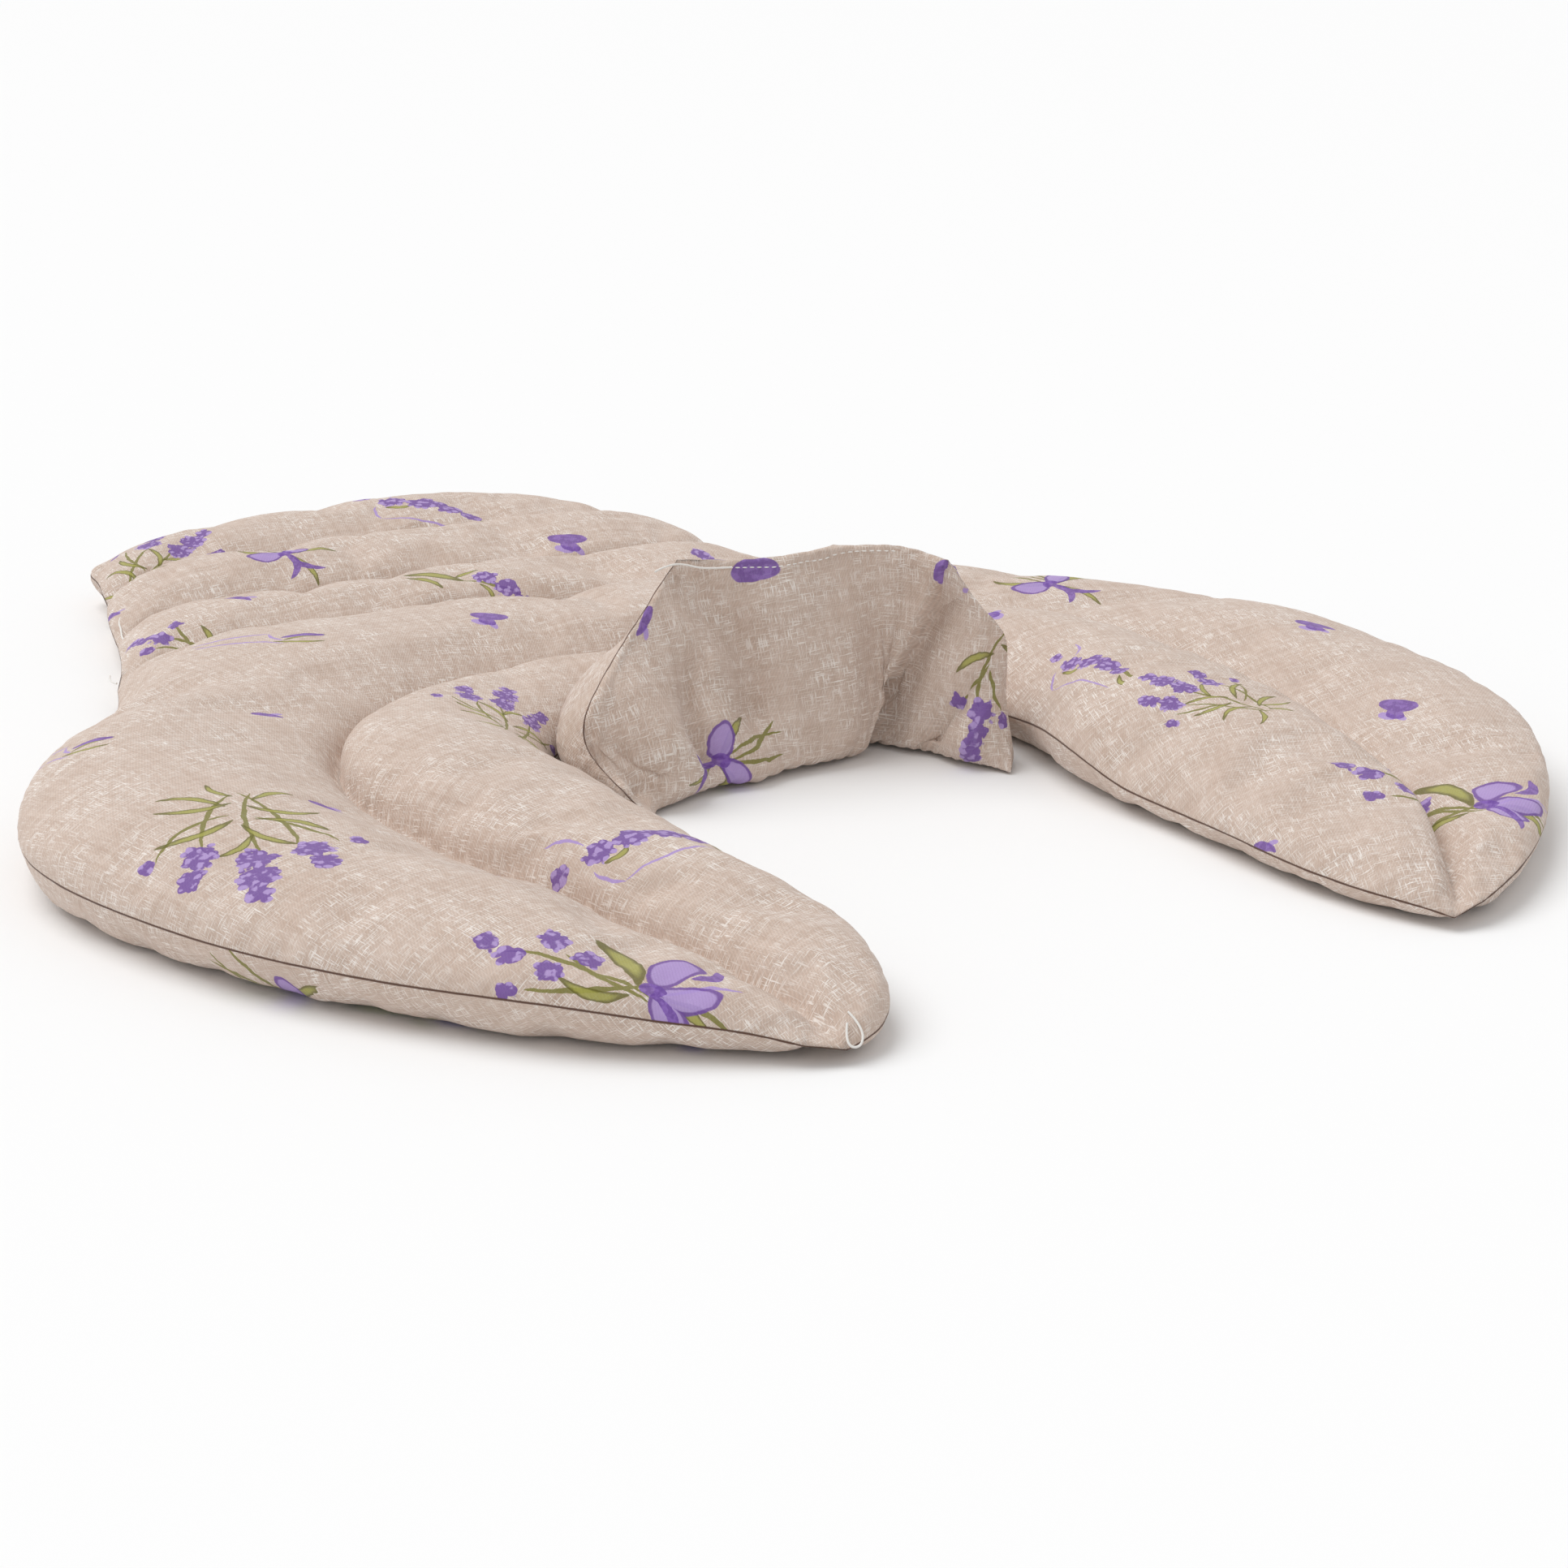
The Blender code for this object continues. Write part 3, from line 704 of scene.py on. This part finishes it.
# Pale slubs, long along the yarn and as thin as it, in patches. Above 0 where one lies.
def drawSlubs(tree, cloth, style):
    slubs = []
    length, width = style["slubLength"], style["slubWidth"]
    for along, across in ((length, width), (width, length)):
        stretched = addNode(tree, "ShaderNodeMapping", {
            "Vector": cloth, "Scale": (1 / (along * mm), 1 / (across * mm), 1),
            "Location": (across, along, 0),
        })
        yarn = addNode(tree, "ShaderNodeTexNoise", {
            "Vector": stretched, "Scale": 1.0, "Detail": 2.0, "Roughness": 0.6,
        })
        slubs.append(addNode(tree, "ShaderNodeMapRange", {
            "Value": yarn.outputs[0], "From Min": 0.55, "From Max": 0.63,
        }))
    patches = addNode(tree, "ShaderNodeTexNoise", {
        "Vector": cloth, "Scale": style["patchesPerMetre"], "Detail": 3.0, "Roughness": 0.6,
    })
    patchy = addNode(tree, "ShaderNodeMapRange", {
        "Value": patches.outputs[0], "From Min": 0.36, "From Max": 0.62, "To Min": 0.3, "To Max": 1.0,
    })
    bothWays = addNode(tree, "ShaderNodeMath", {0: slubs[0], 1: slubs[1]}, operation="MAXIMUM")
    return addNode(tree, "ShaderNodeMath", {0: bothWays, 1: patchy}, operation="MULTIPLY")


# The ground's beige, with cloudy brown streaks along both yarns.
def drawGround(tree, cloth, style):
    streaks = []
    for along, across in style["streaks"]:
        stretched = addNode(tree, "ShaderNodeMapping", {
            "Vector": cloth, "Scale": (1 / (along * mm), 1 / (across * mm), 1),
            "Location": (3, 7, 0),
        })
        streaks.append(addNode(tree, "ShaderNodeTexNoise", {
            "Vector": stretched, "Scale": 1.0, "Detail": 4.0, "Roughness": 0.65,
        }))
    streaky = addNode(tree, "ShaderNodeMath", {0: streaks[0], 1: streaks[1]}, operation="ADD")
    streakMask = addNode(tree, "ShaderNodeMapRange", {
        "Value": streaky, "From Min": 0.7, "From Max": 1.5,
    })
    return addNode(tree, "ShaderNodeMix", {
        "Factor": streakMask, 6: hexColour(style["ground"]), 7: hexColour(style["warm"]),
    }, data_type="RGBA")


# Fine diagonal twill, drawn a little coarser than the thread so that it shows.
def drawTwill(tree, cloth, style):
    slanted = addNode(tree, "ShaderNodeMapping", {"Vector": cloth, "Rotation": (0, 0, style["twillTurn"])})
    return addNode(tree, "ShaderNodeTexWave", {
        "Vector": slanted, "Scale": 2 * math.pi / (20 * style["twillPitch"] * mm),
        "Distortion": 1.5, "Detail": 2.0, "Detail Scale": 1.5,
    })


# One brush stroke of the print: a lens, above 0 inside and 1 in the middle. Its map runs from 0 to 1 along it
# and from -1 to 1 across it.
def drawStroke(tree, chart, origin, stroke):
    kind, x, y, angle, length, halfWidth, bend = stroke
    place = (origin + x * mm, y * mm, 0)
    local = addNode(tree, "ShaderNodeMapping", {
        "Vector": chart, "Location": place, "Rotation": (0, 0, math.radians(angle)),
        "Scale": (length * mm, halfWidth * mm, 1),
    }, vector_type="TEXTURE")
    parts = addNode(tree, "ShaderNodeSeparateXYZ", {0: local})
    rise = addNode(tree, "ShaderNodeMath", {0: parts.outputs[0], 1: -4.0, 2: 4.0}, operation="MULTIPLY_ADD")
    arch = addNode(tree, "ShaderNodeMath", {0: rise, 1: parts.outputs[0]}, operation="MULTIPLY")
    across = addNode(tree, "ShaderNodeMath", {
        0: arch, 1: -bend, 2: parts.outputs[1],
    }, operation="MULTIPLY_ADD")
    squared = addNode(tree, "ShaderNodeMath", {0: across, 1: across}, operation="MULTIPLY")
    return addNode(tree, "ShaderNodeMath", {0: arch, 1: squared}, operation="SUBTRACT")


# The print's strokes, in one layer for each kind, and the chart that the later nodes read.
def drawMotifs(tree, style):
    drawn = addNode(tree, "ShaderNodeUVMap", uv_map="print")
    wobble = addNode(tree, "ShaderNodeTexNoise", {
        "Vector": drawn, "Scale": style["wobblesPerMetre"], "Detail": 3.0,
    })
    offset = addNode(tree, "ShaderNodeVectorMath", {
        0: wobble.outputs[1], 1: (0.5, 0.5, 0.5),
    }, operation="SUBTRACT")
    shift = addNode(tree, "ShaderNodeVectorMath", {
        0: offset, "Scale": style["brushWobble"] * mm,
    }, operation="SCALE")
    chart = addNode(tree, "ShaderNodeVectorMath", {0: drawn, 1: shift}, operation="ADD")
    layers = {}
    for number, strokes in enumerate(motifs.values()):
        for stroke in strokes:
            kind = stroke[0]
            inside = drawStroke(tree, chart, chartPitch * number, stroke)
            if kind in layers:
                inside = addNode(tree, "ShaderNodeMath", {
                    0: layers[kind], 1: inside,
                }, operation="MAXIMUM")
            layers[kind] = inside
        # The next motif's strokes wait for this one's, because the renderer holds only some 250 values at
        # once and shows a larger material as black.
        for kind in dict.fromkeys(stroke[0] for stroke in strokes):
            chart = addNode(tree, "ShaderNodeVectorMath", {
                0: layers[kind], 1: (tooSmallToSee,) * 3, 2: chart,
            }, operation="MULTIPLY_ADD")
    return chart, layers


# Inks the strokes onto the cloth. Flower clusters are heaps of small petals, each dark at its rim and pale in
# the middle, and bow loops and leaves are pale in the middle too.
def inkMotifs(tree, bare, chart, layers, style):
    petals = addNode(tree, "ShaderNodeTexVoronoi", {
        "Vector": chart, "Scale": 1 / (style["petalWidth"] * mm), "Randomness": 0.85,
    }, feature="F1")
    petalEdge = addNode(tree, "ShaderNodeMath", {
        0: petals.outputs[0], 1: -1.5, 2: 0.75,
    }, operation="MULTIPLY_ADD")
    clusters = addNode(tree, "ShaderNodeMath", {0: layers["floret"], 1: petalEdge}, operation="ADD")
    brush = addNode(tree, "ShaderNodeTexNoise", {
        "Vector": chart, "Scale": style["bristlesPerMetre"], "Detail": 2.0,
    })
    brushMask = addNode(tree, "ShaderNodeMapRange", {
        "Value": brush.outputs[0], "From Min": 0.46, "From Max": 0.56,
    })
    petalTone = addNode(tree, "ShaderNodeMath", {0: petals.outputs[0], 1: brush.outputs[0]}, operation="ADD")
    petalPale = addNode(tree, "ShaderNodeMapRange", {
        "Value": petalTone, "From Min": 0.98, "From Max": 0.84,
    })
    flower = addNode(tree, "ShaderNodeMix", {
        "Factor": petalPale, 6: hexColour(style["purple"]), 7: hexColour(style["purpleLight"]),
    }, data_type="RGBA")
    petal = addNode(tree, "ShaderNodeMix", {
        "Factor": brushMask, 6: hexColour(style["purple"]), 7: hexColour(style["purpleMiddle"]),
    }, data_type="RGBA")
    looped = addNode(tree, "ShaderNodeMapRange", {
        "Value": layers["bowLoop"], "From Min": 0.34, "From Max": 0.46,
    })
    bowLoop = addNode(tree, "ShaderNodeMix", {
        "Factor": looped, 6: hexColour(style["purple"]), 7: hexColour(style["purpleLight"]),
    }, data_type="RGBA")
    midrib = addNode(tree, "ShaderNodeMapRange", {
        "Value": layers["leaf"], "From Min": 0.4, "From Max": 0.75,
    })
    leaf = addNode(tree, "ShaderNodeMix", {
        "Factor": midrib, 6: hexColour(style["green"]), 7: hexColour(style["greenLight"]),
    }, data_type="RGBA")
    colours = {
        "stem": hexColour(style["greenMiddle"]),
        "leaf": leaf.outputs[2],
        "lilac": hexColour(style["purpleLight"]),
        "bowLoop": bowLoop.outputs[2],
        "petal": petal.outputs[2],
        "floret": flower.outputs[2],
    }
    printed = bare
    for kind, colour in colours.items():
        inside = clusters if kind == "floret" else layers[kind]
        mask = addNode(tree, "ShaderNodeMapRange", {
            "Value": inside, "From Min": 0.0, "From Max": 0.1, "To Max": style["inkCover"],
        })
        printed = addNode(tree, "ShaderNodeMix", {
            "Factor": mask, 6: printed.outputs[2], 7: colour,
        }, data_type="RGBA")
    return printed


# Printed linen-look cotton: a pinkish beige ground with pale slubs both ways, so that it looks woven of
# uneven yarn, and matt with the faint sheen of loose fibres. The ground shows through the ink a little.
def cottonMaterial(style):
    material = bpy.data.materials.new("linen_look_cotton")
    material.use_nodes = True
    tree = material.node_tree
    shader = tree.nodes["Principled BSDF"]
    shader.inputs["Roughness"].default_value = 0.88
    shader.inputs["Sheen Weight"].default_value = 0.12
    shader.inputs["Sheen Roughness"].default_value = 0.5
    shader.inputs["Specular IOR Level"].default_value = 0.25
    cloth = addNode(tree, "ShaderNodeUVMap", uv_map="cloth")
    slubMask = drawSlubs(tree, cloth, style)
    ground = drawGround(tree, cloth, style)
    twill = drawTwill(tree, cloth, style)
    twillShade = addNode(tree, "ShaderNodeMapRange", {
        "Value": twill.outputs[1], "To Min": 0.93, "To Max": 1.04,
    })
    woven = addNode(tree, "ShaderNodeMix", {
        "Factor": 1.0, 6: ground.outputs[2], 7: twillShade,
    }, data_type="RGBA", blend_type="MULTIPLY")
    paleMask = addNode(tree, "ShaderNodeMath", {0: slubMask, 1: style["slubCover"]}, operation="MULTIPLY")
    slubbed = addNode(tree, "ShaderNodeMix", {
        "Factor": paleMask, 6: woven.outputs[2], 7: hexColour(style["slub"]),
    }, data_type="RGBA")
    chart, layers = drawMotifs(tree, style)
    printed = inkMotifs(tree, slubbed, chart, layers, style)

    # The seams, as thin dark lines of painted shade where the panels meet, standing for the shadow in their
    # gaps.
    seam = addNode(tree, "ShaderNodeAttribute", attribute_name="seamDistance")
    dark, gone = style["seamShadeEdge"]
    seamShadeMask = addNode(tree, "ShaderNodeMapRange", {
        "Value": seam.outputs[2], "From Min": gone * mm, "From Max": dark * mm,
    })
    seamShaded = addNode(tree, "ShaderNodeMix", {
        "Factor": seamShadeMask, 6: printed.outputs[2], 7: hexColour(style["seam"]),
    }, data_type="RGBA")
    tree.links.new(seamShaded.outputs[2], shader.inputs["Base Color"])

    # Slubs and twill stand out a little.
    height = addNode(tree, "ShaderNodeMath", {0: slubMask, 1: twill.outputs[1]}, operation="ADD")
    bump = addNode(tree, "ShaderNodeBump", {"Height": height, "Strength": 0.35, "Distance": 0.15 * mm})
    tree.links.new(bump.outputs[0], shader.inputs["Normal"])
    print(material.name, "made of", len(tree.nodes), "nodes")
    return material


# The collar's topstitching and the thread tails that its maker left, all in thick white cotton thread.
threadStyle = {
    "colour": "#f4f1ec",
    "length": 1.9 * mm,
    "pitch": 2.6 * mm,
    "width": 0.5 * mm,
    # Routes in mm.
    "topstitch": ((0, -43, 71), (5, -44, 71), (22, -48, 70), (38, -50, 71.5), (52, -52, 73), (62, -60, 73.5)),
    "fibresPerMetre": 1800.0,  # the thread's tone changes every 0.6 mm
    "tailWidth": 0.7 * mm,
    "collarTails": (
        (
            (-22, -40, 72), (-18, -41, 74), (-13, -42, 74.5), (-8, -43.5, 72.5), (-3, -43.5, 71.5),
            (5, -45.5, 71.5),
        ),
    ),
    "padTails": (
        (
            (-92, -294, 12.5), (-90.5, -298, 10), (-91, -302, 7), (-94, -303, 4.5), (-97, -301, 6),
            (-94, -297, 10.5),
        ),
        ((-136, 189, 17), (-139.5, 185, 15.5), (-139, 180, 14.5), (-142, 174, 12.5), (-141.5, 170, 12)),
        ((-161, 131, 11), (-163, 127, 10), (-161.5, 122, 10.5)),
    ),
}


# Cotton thread: white and slightly uneven in tone, as twisted yarn is.
def threadMaterial(style):
    material = bpy.data.materials.new("cotton_thread")
    material.use_nodes = True
    tree = material.node_tree
    shader = tree.nodes["Principled BSDF"]
    shader.inputs["Roughness"].default_value = 0.8
    shader.inputs["Sheen Weight"].default_value = 0.2
    place = addNode(tree, "ShaderNodeTexCoord")
    fibres = addNode(tree, "ShaderNodeTexNoise", {
        "Vector": place.outputs["Object"], "Scale": style["fibresPerMetre"], "Detail": 2.0,
    })
    tone = addNode(tree, "ShaderNodeMapRange", {"Value": fibres.outputs[0], "To Min": 0.82, "To Max": 1.05})
    colour = addNode(tree, "ShaderNodeMix", {
        "Factor": 1.0, 6: hexColour(style["colour"]), 7: tone,
    }, data_type="RGBA", blend_type="MULTIPLY")
    tree.links.new(colour.outputs[2], shader.inputs["Base Color"])
    return material


# A row of stitches laid on the cloth along a route.
def sewStitches(name, cloth, style):
    deselectAll()
    bpy.ops.mesh.primitive_uv_sphere_add(segments=8, ring_count=6, radius=1)
    piece = bpy.context.object
    piece.name = name
    route = np.array(style["topstitch"], float) * mm
    steps = np.linalg.norm(np.diff(route, axis=0), axis=1)
    reach = np.concatenate(([0], np.cumsum(steps)))
    marks = np.arange(0, reach[-1], style["pitch"])
    places = np.stack([np.interp(marks, reach, route[:, axis]) for axis in range(3)], axis=1)
    laid = [cloth.closest_point_on_mesh(Vector(place))[1:3] for place in places]
    row = bmesh.new()
    halfLength, halfWidth = style["length"] / 2, style["width"] / 2
    for number, (place, facing) in enumerate(laid):
        following = laid[number + 1][0] if number + 1 < len(laid) else 2 * place - laid[number - 1][0]
        along = (following - place).normalized()
        across = facing.cross(along).normalized()
        outwards = along.cross(across)
        turn = Matrix((along * halfLength, across * halfWidth, outwards * halfWidth))
        stitch = piece.data.copy()
        stitch.transform(Matrix.Translation(place) @ turn.transposed().to_4x4())
        row.from_mesh(stitch)
        bpy.data.meshes.remove(stitch)
    row.to_mesh(piece.data)
    row.free()
    return piece


# Short ends of thread, each on a smooth curve.
def threadTails(name, routes, style):
    curve = bpy.data.curves.new(name, "CURVE")
    curve.dimensions = "3D"
    curve.bevel_depth = style["tailWidth"] / 2
    curve.bevel_resolution = 2
    curve.use_fill_caps = True
    for route in routes:
        spline = curve.splines.new("NURBS")
        spline.points.add(len(route) - 1)
        spline.order_u = 4
        spline.use_endpoint_u = True
        for point, place in zip(spline.points, route):
            point.co = (*(Vector(place) * mm), 1)
    piece = bpy.data.objects.new(name, curve)
    bpy.context.scene.collection.objects.link(piece)
    pickOnly(piece)
    bpy.ops.object.convert(target="MESH")
    return bpy.context.object


# A sheet of matt white paper, which takes the pillow's soft shadow.
def setStage(style):
    bpy.ops.mesh.primitive_plane_add(size=style["floorSize"], location=(0, 0, -style["floorDepth"]))
    floor = bpy.context.object
    floor.name = "floor"
    material = bpy.data.materials.new("white_paper")
    material.use_nodes = True
    shader = material.node_tree.nodes["Principled BSDF"]
    shader.inputs["Base Color"].default_value = hexColour(style["floorColour"])
    shader.inputs["Roughness"].default_value = 0.95
    floor.data.materials.append(material)


def setCamera(style):
    camera = bpy.data.objects.new("camera", bpy.data.cameras.new("camera"))
    bpy.context.scene.collection.objects.link(camera)
    camera.location = style["cameraAt"]
    aim = Vector(style["cameraAim"]) - Vector(style["cameraAt"])
    camera.rotation_euler = aim.to_track_quat("-Z", "Y").to_euler()
    camera.data.lens = style["lens"]
    camera.data.sensor_width = style["sensor"]
    camera.data.clip_start = 0.01
    bpy.context.scene.camera = camera


def setLights(style):
    world = bpy.data.worlds.new("studio")
    bpy.context.scene.world = world
    world.use_nodes = True
    world.node_tree.nodes["Background"].inputs["Color"].default_value = (1, 1, 1, 1)
    world.node_tree.nodes["Background"].inputs["Strength"].default_value = style["skyStrength"]
    sun = bpy.data.objects.new("overhead", bpy.data.lights.new("overhead", "SUN"))
    bpy.context.scene.collection.objects.link(sun)
    sun.data.energy = style["sunStrength"]
    sun.data.angle = style["sunAngle"]
    sun.rotation_euler = Vector(style["sunDirection"]).to_track_quat("-Z", "Y").to_euler()
    bpy.context.scene.view_settings.view_transform = "Standard"


pad = padPiece(padStyle)
collar = collarPiece(collarStyle, collarFolds)
markSeamShadeLines(pad, "sideSeam", cadBox[1][0])  # all round
markSeamShadeLines(collar, "edgeSeam", collarStyle["seamShadeLeftOf"])
layOutPrint(pad, padPrint)
layOutPrint(collar, collarPrint)
cotton = cottonMaterial(cottonStyle)
for piece, node, slot, style in (
    (pad, "pad", "pad_cotton", padStyle),
    (collar, "collar", "collar_cotton", collarStyle),
):
    piece.data.materials.append(cotton)
    piece.data.shade_smooth()
    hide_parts(node)
    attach(piece, "root")
    print(piece.name, "made of", len(piece.data.polygons), "faces")

thread = threadMaterial(threadStyle)
for piece, slot in (
    (sewStitches("collar_topstitch", collar, threadStyle), "collar_cotton"),
    (threadTails("collar_thread_tail", threadStyle["collarTails"], threadStyle), "collar_cotton"),
    (threadTails("pad_thread_tails", threadStyle["padTails"], threadStyle), "pad_cotton"),
):
    piece.data.materials.append(thread)
    piece.data.shade_smooth()
    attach(piece, "root")
    print(piece.name, "made of", len(piece.data.polygons), "faces")

setStage(studio)
setCamera(studio)
setLights(studio)
print("stage, camera and lights set")
